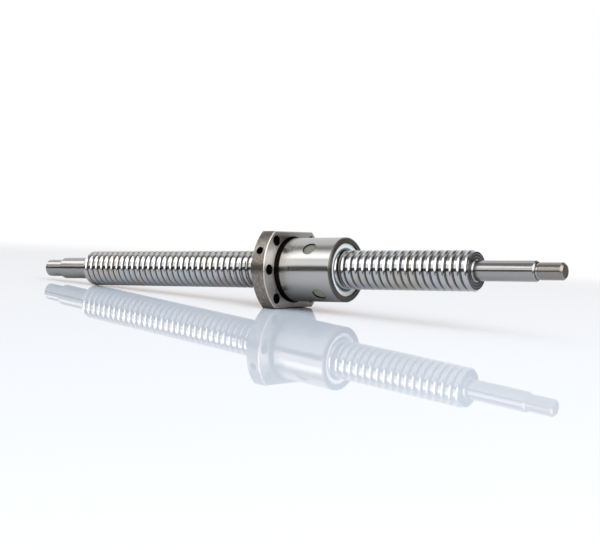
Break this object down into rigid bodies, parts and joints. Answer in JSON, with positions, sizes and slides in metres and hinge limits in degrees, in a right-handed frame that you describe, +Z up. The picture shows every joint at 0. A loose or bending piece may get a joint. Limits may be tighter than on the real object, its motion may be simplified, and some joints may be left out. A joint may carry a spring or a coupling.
{
  "type": "ball screw",
  "caption": "Ball screw: a stepped ground shaft with a helical ball thread, and a flanged round nut with flats, wipers and return deflectors that it turns through.",
  "frame": {"origin": "middle of the ground under the part as it lies at rest", "axes": "+X along the ground from the longer thread end's tip towards the nut's barrel side and the raised tip, +Z up; the screw's axis rises along +X by 4.1 degrees"},
  "size_m": [0.4096, 0.062, 0.0485],
  "materials": {
    "ground_steel": "ground and polished",
    "nut_steel": "satin ground",
    "wiper_plastic": "matte",
    "deflector_plastic": "matte"
  },
  "bodies": {
    "nut": {"nut_body": "nut_steel", "return_deflector_1": "deflector_plastic", "return_deflector_2": "deflector_plastic", "return_deflector_3": "deflector_plastic", "return_deflector_4": "deflector_plastic"},
    "wipers": {"front_wiper": "wiper_plastic", "rear_wiper": "wiper_plastic"},
    "screw": {"screw_shaft": "ground_steel"}
  },
  "joints": [
    {"name": "screw_turn", "type": "hinge", "parent": "nut", "child": "wipers", "pos_m": [0.01899, 0, 0.02462], "axis": [0.9974, 0, 0.0715], "range_deg": [-5760, 11520]},
    {"name": "screw_travel", "type": "slide", "parent": "wipers", "child": "screw", "axis": [0.9974, 0, 0.0715], "range_m": [-0.081, 0.161]}
  ],
  "couplings": [
    {"joint": "screw_travel", "follows": "screw_turn", "m_per_rad": 0.00079577}
  ]
}
